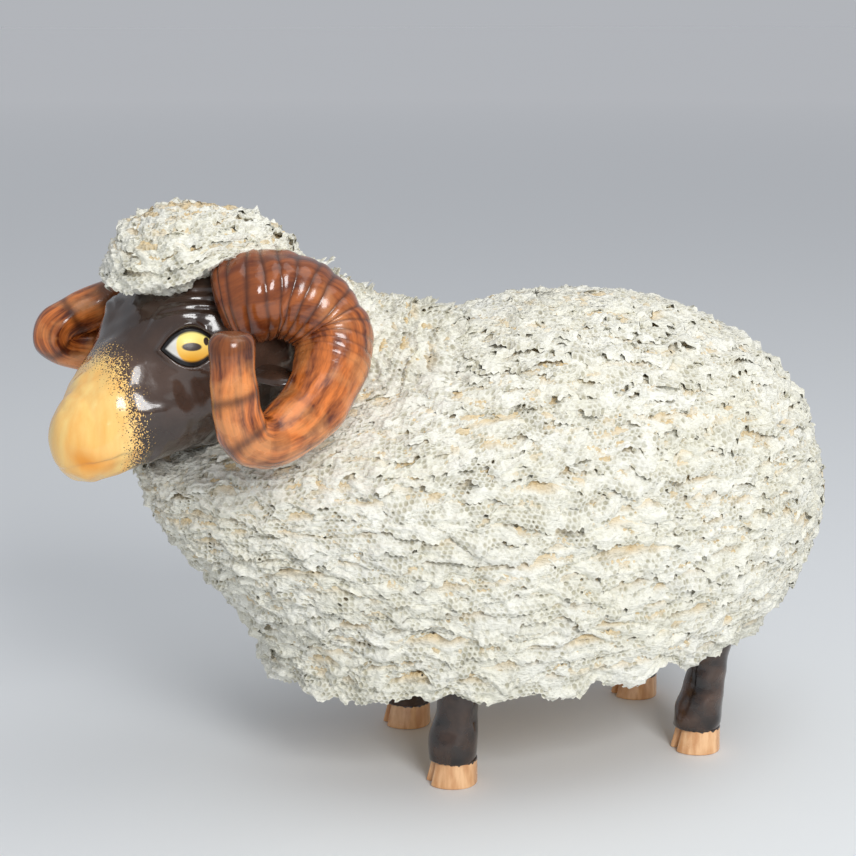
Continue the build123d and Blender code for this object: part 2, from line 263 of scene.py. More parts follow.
# %% [markdown]
# ## Shapes by formula
# The fleece follows the same egg-shaped barrel as the CAD solids, so its formulas are repeated here in
# millimetres. Smooth seeded waves stand for everything irregular that a hand leaves: crumples, wavy hems
# and uneven ridges. They give the same result on each run.

# %% Seeded waves and smooth curves
MILLIMETRE = 0.001


def crumple(points, wavelength, seed, waves=14):
    """Smooth noise of about -2 to 2, made of waves that cross at random."""
    picker = np.random.default_rng(seed)
    heading = picker.normal(size=(waves, 3))
    heading /= np.linalg.norm(heading, axis=1, keepdims=True)
    pace = 2 * pi / (wavelength * picker.uniform(0.7, 1.4, waves))
    start = picker.uniform(0, 2 * pi, waves)
    total = np.zeros(len(points))
    for wave in range(waves):
        total += np.sin(points @ heading[wave] * pace[wave] + start[wave])
    return total / np.sqrt(waves / 2)


def smooth_through(stations, values, places):
    """A curve through values at stations, with a steady slope at each."""
    stations = np.asarray(stations, float)
    values = np.asarray(values, float)
    slopes = np.gradient(values, stations)
    spot = np.clip(np.searchsorted(stations, places) - 1, 0, len(stations) - 2)
    gap = stations[spot + 1] - stations[spot]
    share = np.clip((places - stations[spot]) / gap, 0, 1)
    rise = share * share * (3 - 2 * share)
    lead = share * (1 - share) ** 2 * gap * slopes[spot]
    trail = share * share * (1 - share) * gap * slopes[spot + 1]
    return values[spot] * (1 - rise) + values[spot + 1] * rise + lead - trail


def ease(low, high, value):
    """A soft step from 0 at low to 1 at high."""
    share = np.clip((value - low) / (high - low), 0, 1)
    return share * share * (3 - 2 * share)


def mound(*offsets):
    """A soft bump that is 1 where every offset is 0."""
    return np.exp(-sum(offset**2 for offset in offsets))


def unit_rows(rows):
    """Directions with a length of 1, one in each row."""
    return rows / (np.linalg.norm(rows, axis=1, keepdims=True) + 1e-9)


def length_along(path):
    """The way from a path's start to each of its points."""
    return np.concatenate([[0], np.cumsum(np.linalg.norm(np.diff(path, axis=0), axis=1))])


def turns_round(count):
    """Even turns round a ring of points."""
    return np.linspace(0, 2 * pi, count, endpoint=False)


print("a crumple over 40 mm:", crumple(np.array([[0.0, 0, 0], [40, 0, 0]]), 16, 1).round(2))


# %% Make a piece from points and faces
def make_piece(name, points, faces, finish, slot, *nodes, **paint):
    """A smooth mesh in millimetres that replaces CAD nodes, with values painted on its points."""
    mesh = bpy.data.meshes.new(name)
    mesh.from_pydata((np.asarray(points) * MILLIMETRE).tolist(), [], faces)
    mesh.shade_smooth()
    for label, values in paint.items():
        layer = mesh.attributes.new(label, "FLOAT", "POINT")
        layer.data.foreach_set("value", np.asarray(values, np.float32))
    mesh.materials.append(finish)
    piece = bpy.data.objects.new(name, mesh)
    bpy.context.scene.collection.objects.link(piece)
    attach(piece, "root")
    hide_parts(*nodes)


def ring_faces(rings, around):
    """Four-sided faces between rings of points, and one face to close each end."""
    faces = []
    for ring in range(rings - 1):
        low = ring * around
        for step in range(around):
            turn = (step + 1) % around
            faces.append((low + step, low + turn, low + around + turn, low + around + step))
    faces.append(tuple(range(around - 1, -1, -1)))
    faces.append(tuple(range((rings - 1) * around, rings * around)))
    return faces


print("piece makers ready")

# %% [markdown]
# ## The lace finish
# The lace is white slip over cotton net, fired matt. Its colour carries painted shade: it is whitest
# on the folds that stand proud, olive in the eyelets, a little darker between the threads, and ochre
# where it tucks under the next row and in fold hollows, there part stain and part painted shade. The
# eyelet and tuck values are painted on the mesh as it is made.


# %% Mix the lace finish
def build_lace_finish():
    """Matt white slip with painted shade in eyelets and thread gaps, ochre stain and shade in tucks."""
    material, tree, shader = new_finish("lace_slip", Roughness=0.5, Specular_IOR_Level=0.35)
    clouds = place_group(tree, glaze_pooling, Cloud=55.0, Pitting=900.0)
    white = blend_colours(tree, clouds.outputs["Share"], (0.86, 0.84, 0.72, 1), (0.90, 0.89, 0.81, 1))
    threads = drawn_noise(tree, 2.3, 640.0, 2.0)
    # Painted shade: a little darker between the raised threads of the relief.
    gaps = stretch(tree, threads, 0.5, 0.3, 0.0, 0.5)
    netted = blend_colours(tree, gaps, white, (0.68, 0.66, 0.53, 1))
    # Olive painted shade in the dimpled eyelets.
    dotted = blend_colours(tree, painted(tree, "eyelet_shade"), netted, (0.47, 0.44, 0.32, 1))
    # Ochre where a strip tucks under the next hem and in fold hollows: part stain, part painted shade.
    colour = blend_colours(tree, painted(tree, "tuck_stain_and_shade"), dotted, (0.74, 0.57, 0.32, 1))
    tree.links.new(colour, shader.inputs["Base Color"])
    add_relief(tree, shader, threads, 0.0008)
    return material


lace_finish = build_lace_finish()
print("finish:", lace_finish.name)

# %% [markdown]
# ## A strip of net
# Net lace is a field of six-sided cells. A strip is laid out flat as such cells, each a ring of faces round
# an eyelet, and then carried on to the body by a function. Slip clogs nearly all the eyelets: most keep a
# dimple, patches are smooth, and a few stay open. The strip flares and waves towards its free hem.

# %% Lay out a net of cells
CELL_WIDTH = 1.8
CELL_SIDE = CELL_WIDTH / 3**0.5
CORNERS = np.array([(0, 2), (1, 1), (1, -1), (0, -2), (-1, -1), (-1, 1)])
KEY_STEP = 100000
OPEN_LEVEL, DIMPLE_LEVEL, NIBBLE_LEVEL = 2.6, -1.1, 0.9
RIB_RUN = 4.5


def net_layout(columns, rows, wrapped):
    """Centres and corners of six-sided cells, in shares along and across a strip."""
    column, row = np.meshgrid(np.arange(columns), np.arange(rows))
    centre = np.stack([2 * column + row % 2 + 1, 3 * row + 2], -1).reshape(-1, 2)
    corner = centre[:, None, :] + CORNERS[None]
    scale = np.array([2 * columns, 3 * rows + 1])
    if wrapped:
        corner[..., 0] %= 2 * columns
    else:
        scale = scale + np.array([2, 0])
    key = corner[..., 0] * KEY_STEP + corner[..., 1]
    unique, index = np.unique(key.reshape(-1), return_inverse=True)
    knots = np.stack([unique // KEY_STEP, unique % KEY_STEP], -1) / scale
    return centre / scale, knots, index.reshape(-1, 6), CORNERS / scale


def net_strip(surface, size, seed, wrapped=True, wave=1.0, crinkle=1.0, hidden_by=None, deeper_than=0.0):
    """Points, faces and painted values of a lace strip on a surface given by shares along and across."""
    columns = round(size[0] / CELL_WIDTH)
    rows = max(3, round(size[1] / (1.5 * CELL_SIDE)))
    centre, knots, index, reach = net_layout(columns, rows, wrapped)
    middle = surface(centre[:, 0], centre[:, 1])
    picker = np.random.default_rng(seed)
    clog = crumple(middle, 9, seed) + picker.normal(0, 0.8, len(middle))
    opened = clog > OPEN_LEVEL
    dimpled = clog > DIMPLE_LEVEL
    stay = ~hidden_by(middle, deeper_than) if hidden_by else np.ones(len(middle), bool)
    at_hem = centre[:, 1] < 3 / (3 * rows + 1)
    stay &= ~(at_hem & (crumple(middle, 4.5, seed + 8) > NIBBLE_LEVEL))
    uneven = picker.normal(0, 0.05, len(middle))
    bore = np.clip(0.4 + 0.1 * crumple(middle, 5, seed + 1) + uneven, 0.22, 0.56)
    bore = np.where(dimpled, bore, 0.25)
    rim = centre[:, None, :] + reach[None] * bore[:, None, None]
    flat = np.concatenate([knots, rim.reshape(-1, 2)])
    dip = np.where(dimpled, 0.7 + 0.3 * (clog > 0.3), 0.2)
    # Painted shade on the floors of the dimpled eyelets.
    shade = np.where(dimpled, np.clip(0.3 + 0.4 * clog, 0.1, 0.9), 0.0)
    raised = np.zeros(len(knots))
    sunk = np.concatenate([raised, np.repeat(dip, 6)])
    eyelet_shade = np.concatenate([raised, np.repeat(shade, 6)])
    points, tuck_stain_and_shade = drape(surface, size, flat, sunk, seed, wave, crinkle)
    faces = []
    first = len(knots)
    for cell in np.nonzero(stay)[0]:
        ring = index[cell]
        inner = first + cell * 6
        for step in range(6):
            turn = (step + 1) % 6
            faces.append((ring[turn], ring[step], inner + step, inner + turn))
        if not opened[cell]:
            faces.append(tuple(range(inner + 5, inner - 1, -1)))
    return tidy_points(points, faces, np.stack([tuck_stain_and_shade, eyelet_shade], 1))


def drape(surface, size, flat, sunk, seed, wave, crinkle):
    """A strip's points on its surface in waves, folds and ribs, and its tuck stain and painted shade."""
    along, across = flat[:, 0], flat[:, 1]
    step = 0.004
    base = surface(along, across)
    run = surface(along + step, across) - surface(along - step, across)
    climb = unit_rows(surface(along, across + step) - surface(along, across - step))
    normal = unit_rows(np.cross(run, climb))
    free = (1 - across) ** 1.4
    hem = surface(along, np.zeros_like(along))
    drop = wave * free * (1.7 * crumple(hem, 20, seed + 2) + 0.75 * crumple(hem, 8, seed + 3))
    fold = 0.65 * free * crumple(base, 17, seed + 4)
    fold += 0.5 * crinkle * (0.4 + 0.6 * free) * crumple(base, 7, seed + 5)
    roll = size[0] / (2 * pi) / RIB_RUN
    drift = across * size[1] + 1.3 * crumple(base, 20, seed + 7)
    rolled = np.stack([roll * np.cos(2 * pi * along), roll * np.sin(2 * pi * along), drift], 1)
    ribs = 0.42 * crinkle * crumple(rolled, 2.5, seed + 9)
    fine = 0.24 * crinkle * crumple(base, 2.4, seed + 6)
    lift = 0.2 * free + fold + ribs + fine - 0.6 * sunk - 1.5 * ease(0.16, 0, across)
    points = base + normal * lift[:, None] - climb * drop[:, None]
    # Ochre under the next hem and in fold hollows, part stain and part painted shade; raised folds stay
    # whiter.
    tuck_stain_and_shade = np.clip(2.6 * (across - 0.55) - 0.18 * (fold + ribs), 0, 1)
    return points, tuck_stain_and_shade


def tidy_points(points, faces, values):
    """Drops the points that no face uses, and their painted values."""
    used = np.unique(np.concatenate([np.asarray(face) for face in faces]))
    order = np.zeros(len(points), int)
    order[used] = np.arange(len(used))
    return points[used], [tuple(order[list(face)].tolist()) for face in faces], values[used]


print("a strip's layout:", [part.shape for part in net_layout(40, 7, True)])


# %% Join several strips into one piece
def join_strips(strips):
    """One set of points, faces and painted values from several strips."""
    points, faces, values = [], [], []
    count = 0
    for strip_points, strip_faces, strip_values in strips:
        points.append(strip_points)
        faces += [tuple(number + count for number in face) for face in strip_faces]
        values.append(strip_values)
        count += len(strip_points)
    return np.concatenate(points), faces, np.concatenate(values)


def lace_piece(name, strips, *nodes):
    """A lace piece from strips, in the place of CAD nodes."""
    points, faces, values = join_strips(strips)
    # The painted values: tuck stain and shade, and the eyelets' painted shade.
    paint = {"tuck_stain_and_shade": values[:, 0], "eyelet_shade": values[:, 1]}
    make_piece(name, points, faces, lace_finish, "lace", *nodes, **paint)
    print(name, "faces", len(faces))


# %% [markdown]
# ## The barrel and the neck as formulas
# A point on the fleece is given by its turn round the barrel and its height. The rows rise a little to the
# rear, so the heights are measured square to a tilted plane. The neck is a leaning oval tube.

# %% Points of the barrel
MIDLINE = 5.0
ROW_SLOPE = radians(2.6)
ROW_ALONG = np.array([cos(ROW_SLOPE), 0, sin(ROW_SLOPE)])
ROW_UP = np.array([-sin(ROW_SLOPE), 0, cos(ROW_SLOPE)])
BARREL_MIDDLE, BARREL_WIDE = 33.0, 66.0
RUMP_REACH, RUFF_REACH, HEM_REACH = 109.5, 141.0, 104.0
HEM_HEIGHT, GIRTH_HEIGHT, RUFF_HEIGHT, BACK_HEIGHT = 41.0, 85.0, 116.0, 162.0
FLANK_DROP, RUMP_DROP = 92.0, 62.0
BARREL_POWER, SHOULDER_POWER = 2.15, 1.3
FLEECE_DEPTH = 7.8


def oval_share(rise, half_height, power):
    """The share of its full reach that an oval keeps at a height above its girth."""
    return (1 - np.clip(rise / half_height, 0, 1) ** power) ** (1 / power)


def barrel_reach(height, inset):
    """Front, rear and sideways reach of the barrel at a height."""
    rise = np.abs(height - GIRTH_HEIGHT)
    over = oval_share(rise, BACK_HEIGHT - inset - GIRTH_HEIGHT, BARREL_POWER)
    flank = np.where(height > GIRTH_HEIGHT, over, oval_share(rise, FLANK_DROP, BARREL_POWER))
    rump = np.where(height > GIRTH_HEIGHT, over, oval_share(rise, RUMP_DROP, BARREL_POWER))
    shoulder = oval_share(height - RUFF_HEIGHT, BACK_HEIGHT - inset - RUFF_HEIGHT, SHOULDER_POWER)
    chest = (1 + np.cos(pi * (RUFF_HEIGHT - height) / (RUFF_HEIGHT - HEM_HEIGHT))) / 2
    low_front = HEM_REACH + (RUFF_REACH - HEM_REACH) * chest - inset
    front = np.where(height > RUFF_HEIGHT, (RUFF_REACH - inset) * shoulder, low_front)
    return front, (RUMP_REACH - inset) * rump, (BARREL_WIDE - inset) * flank


def barrel_point(turn, height, inset):
    """Points of the barrel at turns round it and heights up it."""
    front, rear, wide = barrel_reach(height, inset)
    ahead = np.cos(turn)
    along = BARREL_MIDDLE + np.where(ahead > 0, rear, front) * ahead
    points = along[:, None] * ROW_ALONG + height[:, None] * ROW_UP
    points[:, 1] += MIDLINE + wide * np.sin(turn)
    return points


def in_barrel(points, inset):
    """Whether points lie inside the barrel, deeper than an inset."""
    along = points @ ROW_ALONG - BARREL_MIDDLE
    height = points @ ROW_UP
    front, rear, wide = barrel_reach(height, inset)
    reach = np.where(along > 0, rear, front) + 1e-6
    inside = (along / reach) ** 2 + ((points[:, 1] - MIDLINE) / (wide + 1e-6)) ** 2 < 1
    return inside & (height < BACK_HEIGHT - inset) & (height > HEM_HEIGHT)


def row_height(row):
    """Height of a row's hem: even below the girth, then by equal turns over the back."""
    if row <= 3:
        return HEM_HEIGHT + row * (GIRTH_HEIGHT - HEM_HEIGHT) / 3
    turn = radians(12 * min(row - 3, 7.4))
    return GIRTH_HEIGHT + (BACK_HEIGHT - FLEECE_DEPTH - GIRTH_HEIGHT) * sin(turn)


print("row hems in mm:", [round(row_height(row), 1) for row in range(10)])

# %% Points of the neck and the head's frame
NECK_BASE = np.array([-30.0, MIDLINE, 122.0])
NECK_LEAN = radians(31)
NECK_TALL_WAY = np.array([sin(NECK_LEAN), 0, cos(NECK_LEAN)])
NECK_WAY = np.array([-cos(NECK_LEAN), 0, sin(NECK_LEAN)])
NECK_LENGTH = 66.0
HEAD_TURN = radians(23)
FORWARD = np.array([-cos(HEAD_TURN), -sin(HEAD_TURN), 0])
SIDE = np.array([sin(HEAD_TURN), -cos(HEAD_TURN), 0])
UPWARD = np.array([0, 0, 1.0])


def neck_reach(along, inset):
    """Half height and half width of the neck, which flares where it meets the barrel."""
    flare = ease(26, -16, along)
    tall = 41.0 - 5.0 * along / NECK_LENGTH + 5.0 * flare - inset
    wide = 28.0 - 2.0 * along / NECK_LENGTH + 20.0 * flare - inset
    return tall, wide


def neck_point(turn, along, inset):
    """Points of the neck's fleece at turns round it and distances from the withers."""
    tall, wide = neck_reach(along, inset)
    points = NECK_BASE + along[:, None] * NECK_WAY + (tall * np.cos(turn))[:, None] * NECK_TALL_WAY
    points[:, 1] += wide * np.sin(turn)
    return points


def in_neck(points, inset):
    """Whether points lie inside the neck, deeper than an inset."""
    away = points - NECK_BASE
    along = away @ NECK_WAY
    tall, wide = neck_reach(along, inset)
    inside = (away @ NECK_TALL_WAY / tall) ** 2 + (away[:, 1] / wide) ** 2 < 1
    return inside & (along > -17) & (along < NECK_LENGTH)


def head_point(ahead, left, height):
    """Points given by their distance ahead of the poll, left of the middle and above the ground."""
    poll = np.array([-70.0, MIDLINE, 0])
    return poll + np.outer(ahead, FORWARD) + np.outer(left, SIDE) + np.outer(height, UPWARD)


print("the head looks along", FORWARD.round(2))

# %% [markdown]
# ## The fleece rows
# Each CAD row carries three strips of lace, each a third of a row above the last, so that a free hem shows
# every five millimetres or so, as in the photograph. A strip's hem stands out and its upper edge tucks in.
# Cells that would lie inside the neck are left out, and the rump's lace is set in a little.

# %% Lay the rows round the body
HEM_INSET, SEWN_INSET, RUMP_INSET = 0.9, 3.1, 2.6


def even_turns(point_at, level):
    """A function from shares of the way round to turns that keeps cells even, and the whole way."""
    turns = np.linspace(0, 2 * pi, 721)
    length = length_along(point_at(turns, np.full(len(turns), level), 0))

    def turn_at(share):
        return np.interp(np.mod(share, 1) * length[-1], length, turns)

    return turn_at, length[-1]


def barrel_strip(low, high, low_inset, high_inset, seed):
    """One strip round the barrel between two heights."""
    turn_at, girth = even_turns(barrel_point, (low + high) / 2)

    def surface(along, across):
        height = low + (high - low) * across
        inset = low_inset + (high_inset - low_inset) * across
        rump = ease(95, 135, barrel_point(turn_at(along), height, 0)[:, 0])
        return barrel_point(turn_at(along), height, inset + RUMP_INSET * rump)

    edges = [surface(np.array([0.25]), np.array([share])) for share in (0.0, 1.0)]
    width = np.linalg.norm(edges[1] - edges[0])
    return net_strip(surface, (girth, width), seed, hidden_by=in_neck, deeper_than=1.5)


for row in range(1, 10):
    strips = []
    for part, start in enumerate((row - 1, row - 0.667, row - 0.333)):
        hem = row_height(start) - 2 * (start == 0)
        sewn = row_height(start + 0.68)
        strips.append(barrel_strip(hem, sewn, HEM_INSET, SEWN_INSET, 100 * row + 12 * part))
    lace_piece(f"lace_row_{row}", strips, f"fleece_row_{row}")

# %% [markdown]
# ## The back, the collars, the topknot and the tail
# The last strips close over the spine in ovals. The collars drape round the neck with their hems towards the
# body. The topknot is the most crumpled of all: short strips heaped on a dome, and one that turns in under
# its hem. The tail is a small flap.

# %% Close the fleece over the back
BACK_STEPS = (
    (0, 0.36), (0.14, 0.5), (0.28, 0.64), (0.42, 0.76),
    (0.56, 0.87), (0.69, 0.95), (0.82, 0.985), (0.92, 0.999),
)


def build_back():
    """Ovals of lace that close over the spine."""
    low = row_height(9)
    rise = BACK_HEIGHT - low
    strips = []
    for number, (start, stop) in enumerate(BACK_STEPS):
        strips.append(barrel_strip(low + rise * start, low + rise * stop, 0.6, 1.8, 2000 + 12 * number))
    lace_piece("lace_back", strips, "back_fleece")


build_back()


# %% Drape the collars
def collar_strip(hem, sewn, seed):
    """One strip round the neck, its hem towards the body."""
    turn_at, girth = even_turns(neck_point, hem)

    def surface(along, across):
        return neck_point(-turn_at(along), hem + (sewn - hem) * across, 0.6 + 3.2 * across)

    return net_strip(surface, (girth, sewn - hem), seed, hidden_by=in_barrel, deeper_than=5.0)


first_collar, collar_step, strip_depth = 54.0, 17.0, 10.8
for number in range(1, 4):
    sewn = first_collar - collar_step * (number - 1)
    drops = (22.0, 16.4, 10.8) if number < 3 else (33.5, 27.8, 22.0, 16.4, 10.8)
    strips = []
    for drop in drops:
        hem = sewn - drop
        strips.append(collar_strip(hem, hem + strip_depth, 3000 + 100 * number + int(drop)))
    lace_piece(f"lace_collar_{number}", strips, f"neck_collar_{number}")


# %% Heap the topknot
TUFT_MIDDLE, TUFT_LONG, TUFT_WIDE = 21.0, 34.0, 27.0


def topknot_point(turn, share, inset):
    """Points of the topknot's dome at turns round it and shares of its rise."""
    spread = oval_share(share, 1.0, 2.4)
    half_long = TUFT_LONG + 4.5 * ease(0, 1, np.cos(turn))
    ahead = TUFT_MIDDLE - (half_long * spread - inset) * np.cos(turn)
    low = 173.0 + 9.5 * ease(54, 28, ahead) - 17.0 * ease(6, -12, ahead)
    top = 198.0 - 8.0 * ease(26, -14, ahead)
    return head_point(ahead, (TUFT_WIDE * spread - inset) * np.sin(turn), low + (top - low) * share)


def topknot_strip(low, high, seed):
    """One strip round the topknot."""
    turn_at, girth = even_turns(topknot_point, low)

    def surface(along, across):
        share = np.clip(low + (high - low) * across, 0, 0.9995)
        return topknot_point(-turn_at(along), share, 0.2 + 2.0 * across)

    return net_strip(surface, (girth, 12.0), seed, wave=0.5, crinkle=1.25)


def topknot_underside(seed):
    """The strip that turns under the hem, in to the poll."""
    turn_at, girth = even_turns(topknot_point, 0.02)

    def surface(along, across):
        reach = 0.98 - 0.48 * across
        ahead = TUFT_MIDDLE - TUFT_LONG * reach * np.cos(turn_at(along))
        left = TUFT_WIDE * reach * np.sin(turn_at(along))
        rim = topknot_point(turn_at(along), np.full(len(along), 0.12), 0)
        return head_point(ahead, left, rim[:, 2] - 6.0 * across)

    return net_strip(surface, (girth, 14.0), seed, wave=0.2)


topknot_steps = ((0.02, 0.42), (0.22, 0.6), (0.42, 0.78), (0.6, 0.9), (0.76, 0.97), (0.88, 0.999))
topknot_strips = []
for step, (low, high) in enumerate(topknot_steps):
    topknot_strips.append(topknot_strip(low, high, 4000 + 10 * step))
topknot_strips.append(topknot_underside(4100))
lace_piece("lace_topknot", topknot_strips, "topknot")


# %% Hang the tail
def tail_strip(top, hem, seed):
    """One short strip across the tail flap."""

    def surface(along, across):
        height = hem + (top - hem) * across
        turn = (along - 0.5) * pi * 0.98
        rump = barrel_reach(height, 0.0)[1]
        wide = 11.0 * smooth_through((52, 60, 80, 88), (0.85, 1.0, 0.85, 0.55), height)
        out = BARREL_MIDDLE + rump - 3.2 + (4.2 - 2.0 * across) * np.cos(turn)
        points = out[:, None] * ROW_ALONG + height[:, None] * ROW_UP
        points[:, 1] += MIDLINE + wide * np.sin(turn)
        return points

    return net_strip(surface, (26.0, top - hem), seed, wrapped=False)


tail_strips = [tail_strip(hem + 15, hem, 5000 + int(hem)) for hem in (52.0, 60.0, 67.0, 73.5)]
lace_piece("lace_tail", tail_strips, "tail")

# %% [markdown]
# ## The head
# The head is modelled as one closed skin: ovals through the CAD sections, drawn close together, and then
# pushed and pulled as a potter's thumb would. Lids stand round each eye, a brow bulges over it with a few
# folds above, and the cheeks hollow below. Where the tan muzzle begins is painted on the points.

# %% Shape the skin of the head
HEAD_AHEAD = (-6, 4, 17, 32, 43, 53, 62, 69)
HEAD_WIDE = (19, 25, 28, 27, 24.2, 19.4, 16, 13.4)
HEAD_TALL = (20, 28, 32.5, 30, 26, 21.6, 18.3, 14.6)
HEAD_LIFT = (8, 3, 0.8, 0.6, 0, -1.2, -2.6, -2.6)
NOSE_START, NOSE_END = 64.0, 77.0
EYE_SPOT = (41.5, 22.4, 158.0)
EYE_HALF_LONG, EYE_HALF_TALL, EYE_TILT = 8.6, 5.6, radians(-6)
EYE_RADIUS, EYE_SINK = 13.0, 11.4


def head_rings(rings, around):
    """Distances ahead, left and up of the plain head skin."""
    ahead = np.linspace(HEAD_AHEAD[0], NOSE_END, rings)
    near = ahead > NOSE_START
    ahead[near] = NOSE_START + (NOSE_END - NOSE_START) * np.sin(np.linspace(0, pi / 2, near.sum()))
    beyond = ((ahead - NOSE_START) / (NOSE_END - NOSE_START)).clip(0)
    round_off = np.sqrt(np.clip(1 - beyond**2, 0.0004, 1))
    round_off *= np.sqrt(np.clip((ahead + 6.5) / 4, 0, 1))
    station = np.minimum(ahead, HEAD_AHEAD[-1])
    wide = smooth_through(HEAD_AHEAD, HEAD_WIDE, station) * round_off
    tall = smooth_through(HEAD_AHEAD, HEAD_TALL, station)
    jaw = 118.5 + 5.0 * (1 - ahead / 62.0) + smooth_through(HEAD_AHEAD, HEAD_LIFT, station)
    turn = turns_round(around)
    left = wide[:, None] * np.cos(turn)
    height = (jaw + tall)[:, None] + (tall * round_off)[:, None] * np.sin(turn)
    return np.repeat(ahead, around), left.reshape(-1), height.reshape(-1)


def eye_axes(hand):
    """An eye's middle and its directions along, up and out."""
    out = SIDE * hand + FORWARD * 0.35 + UPWARD * 0.3
    out /= np.linalg.norm(out)
    flat = FORWARD - out * (FORWARD @ out)
    flat /= np.linalg.norm(flat)
    rise = np.cross(out, flat) * hand
    if rise[2] < 0:
        rise = -rise
    along = flat * cos(EYE_TILT) - rise * sin(EYE_TILT)
    up = rise * cos(EYE_TILT) + flat * sin(EYE_TILT)
    ahead, left, height = EYE_SPOT
    return head_point(ahead, hand * left, height)[0], along, up, out


print("eye looks along", eye_axes(1)[3].round(2))


# %% Push in the eyes, lids, brows and cheeks
def shape_eye(points, hand):
    """Presses one eye's socket, lids, brow and folds into the head's points."""
    middle, along, up, out = eye_axes(hand)
    away = points - middle
    x, y, depth = away @ along, away @ up, away @ out
    near = ease(26, 12, np.linalg.norm(away, axis=1))
    edge = np.abs(y) / EYE_HALF_TALL + (x / EYE_HALF_LONG) ** 2 - 1
    ball = np.sqrt(np.clip(EYE_RADIUS**2 - x * x - y * y, 40, EYE_RADIUS**2)) - EYE_SINK
    lid = mound((edge - 0.25) / 0.22)
    sink = ease(0.12, -0.05, edge)
    goal = ball + 0.55 + 0.35 * (y > 0)
    shift = np.clip(goal - depth, 0, 2.2) * lid * near * (depth > -8)
    shift += (ball - 2.6 - depth) * sink * near
    brow = 3.2 * mound((x - 2) / 11, (y - 10.5) / 4.0)
    arc = np.sqrt((x / 1.7) ** 2 + (y + 3) ** 2)
    folds = -0.6 * ease(11.5, 14, arc) * ease(27, 22, arc)
    folds = folds * (1 + np.cos(2 * pi * arc / 2.9)) * ease(4, 10, y)
    cheek = -1.3 * mound((x - 3) / 9, (y + 13) / 6)
    lower = 0.7 * mound(x / 9, (y + 7.5) / 1.6)
    shift += (brow + folds + cheek + lower) * near * (1 - sink) * (depth > -8)
    return points + out * shift[:, None]


def build_head():
    """The head's skin, with its tan muzzle and the warm spot on its lips painted on."""
    rings, around = 300, 256
    ahead, left, height = head_rings(rings, around)
    points = head_point(ahead, left, height)
    middle = head_point(ahead, 0 * left, height * 0 + 140)
    wobble = 0.35 * crumple(points, 14, 61) + 0.12 * crumple(points, 6, 62)
    push = unit_rows(points - middle)
    points = points + push * wobble[:, None]
    nostril = mound((ahead - 69) / 3.0, (np.abs(left) - 7.0) / 2.4, (height - 137) / 2.0)
    mouth = mound((height - 121.5 - 0.02 * left**2) / 0.8) * ease(54, 62, ahead)
    points = points - FORWARD * (0.35 * nostril)[:, None] - push * (0.5 * mouth)[:, None]
    far_brow = mound((ahead - 50) / 10, (height - 165) / 10) * ease(2, -10, left)
    points = points - SIDE * (5.5 * far_brow)[:, None]
    for hand in (1, -1):
        points = shape_eye(points, hand)
    muzzle = ease(50, 66, ahead + 0.14 * (140 - height) - 0.1 * np.abs(left))
    warm = mound((left - 9.5) / 3.6, (height - 124.5) / 4.5) * ease(60, 66, ahead)
    faces = ring_faces(rings, around)
    paint = {"muzzle": muzzle, "warm": warm}
    make_piece("head_skin", points, faces, head_finish, "dark_glaze", "head_shell", **paint)
    print("head points", len(points))


# %% [markdown]
# The face wears a near-black brown glaze, deep and shiny. The muzzle is tan with streaks like wood, and the
# border is sponged. A rusty spot marks the lips. A clear coat over all gives the wet look of fired glaze.


# %% Mix the head's glaze and build the head
def build_head_finish():
    """Dark glaze that breaks into a tan muzzle through sponged dots."""
    material, tree, shader = new_finish("face_glaze", Coat_Weight=0.5, Coat_Roughness=0.06)
    pool = place_group(tree, glaze_pooling, Cloud=42.0, Pitting=420.0)
    dots = place_group(tree, sponged_dots, Mask=painted(tree, "muzzle"), Dots=2000.0)
    dark = blend_colours(tree, pool.outputs["Share"], (0.018, 0.010, 0.007, 1), (0.085, 0.048, 0.033, 1))
    share = stretch(tree, drawn_noise(tree, 0.16, 260.0, 3.0), 0.3, 0.7)
    tan = blend_colours(tree, share, (0.96, 0.51, 0.13, 1), (1.0, 0.69, 0.24, 1))
    rusty = blend_colours(tree, painted(tree, "warm"), tan, (0.86, 0.32, 0.02, 1))
    colour = blend_colours(tree, dots.outputs["Mask"], dark, rusty)
    glaze_surface(tree, shader, colour, pool, 0.00012)
    return material


head_finish = build_head_finish()
build_head()

# %% [markdown]
# ## The eyes
# Each eye is a shallow dome let into its socket. It has a yellow iris, a flat dark pupil as sheep have with
# a small painted dark glint beside it, a black rim and white corners. The painting follows values on the
# points, each a distance from one painted shape, so it stays in place from every side.


# %% Paint and set the eyes
def build_eye_finish():
    """Painted iris, pupil, dark painted glint and rim on white, with a faint clear coat."""
    material, tree, shader = new_finish("eye_paint", Roughness=0.38, Coat_Weight=0.08)
    pool = place_group(tree, glaze_pooling, Cloud=300.0, Pitting=700.0)
    white = blend_colours(tree, pool.outputs["Share"], (0.62, 0.60, 0.55, 1), (0.78, 0.77, 0.73, 1))
    yellow = blend_colours(tree, painted(tree, "iris_fall"), (0.90, 0.40, 0.02, 1), (0.95, 0.80, 0.22, 1))
    ring = stretch(tree, painted(tree, "iris"), 0.96, 1.04)
    colour = blend_colours(tree, ring, yellow, white)
    # The pupil's dark colour also paints the small dark glint beside it.
    pupil = stretch(tree, painted(tree, "pupil"), 0.9, 1.1)
    colour = blend_colours(tree, pupil, (0.03, 0.014, 0.008, 1), colour)
    rim = stretch(tree, painted(tree, "rim"), 0.72, 0.86)
    colour = blend_colours(tree, rim, colour, (0.006, 0.005, 0.005, 1))
    tree.links.new(colour, shader.inputs["Base Color"])
    add_relief(tree, shader, pool.outputs["Height"], 0.00004)
    return material


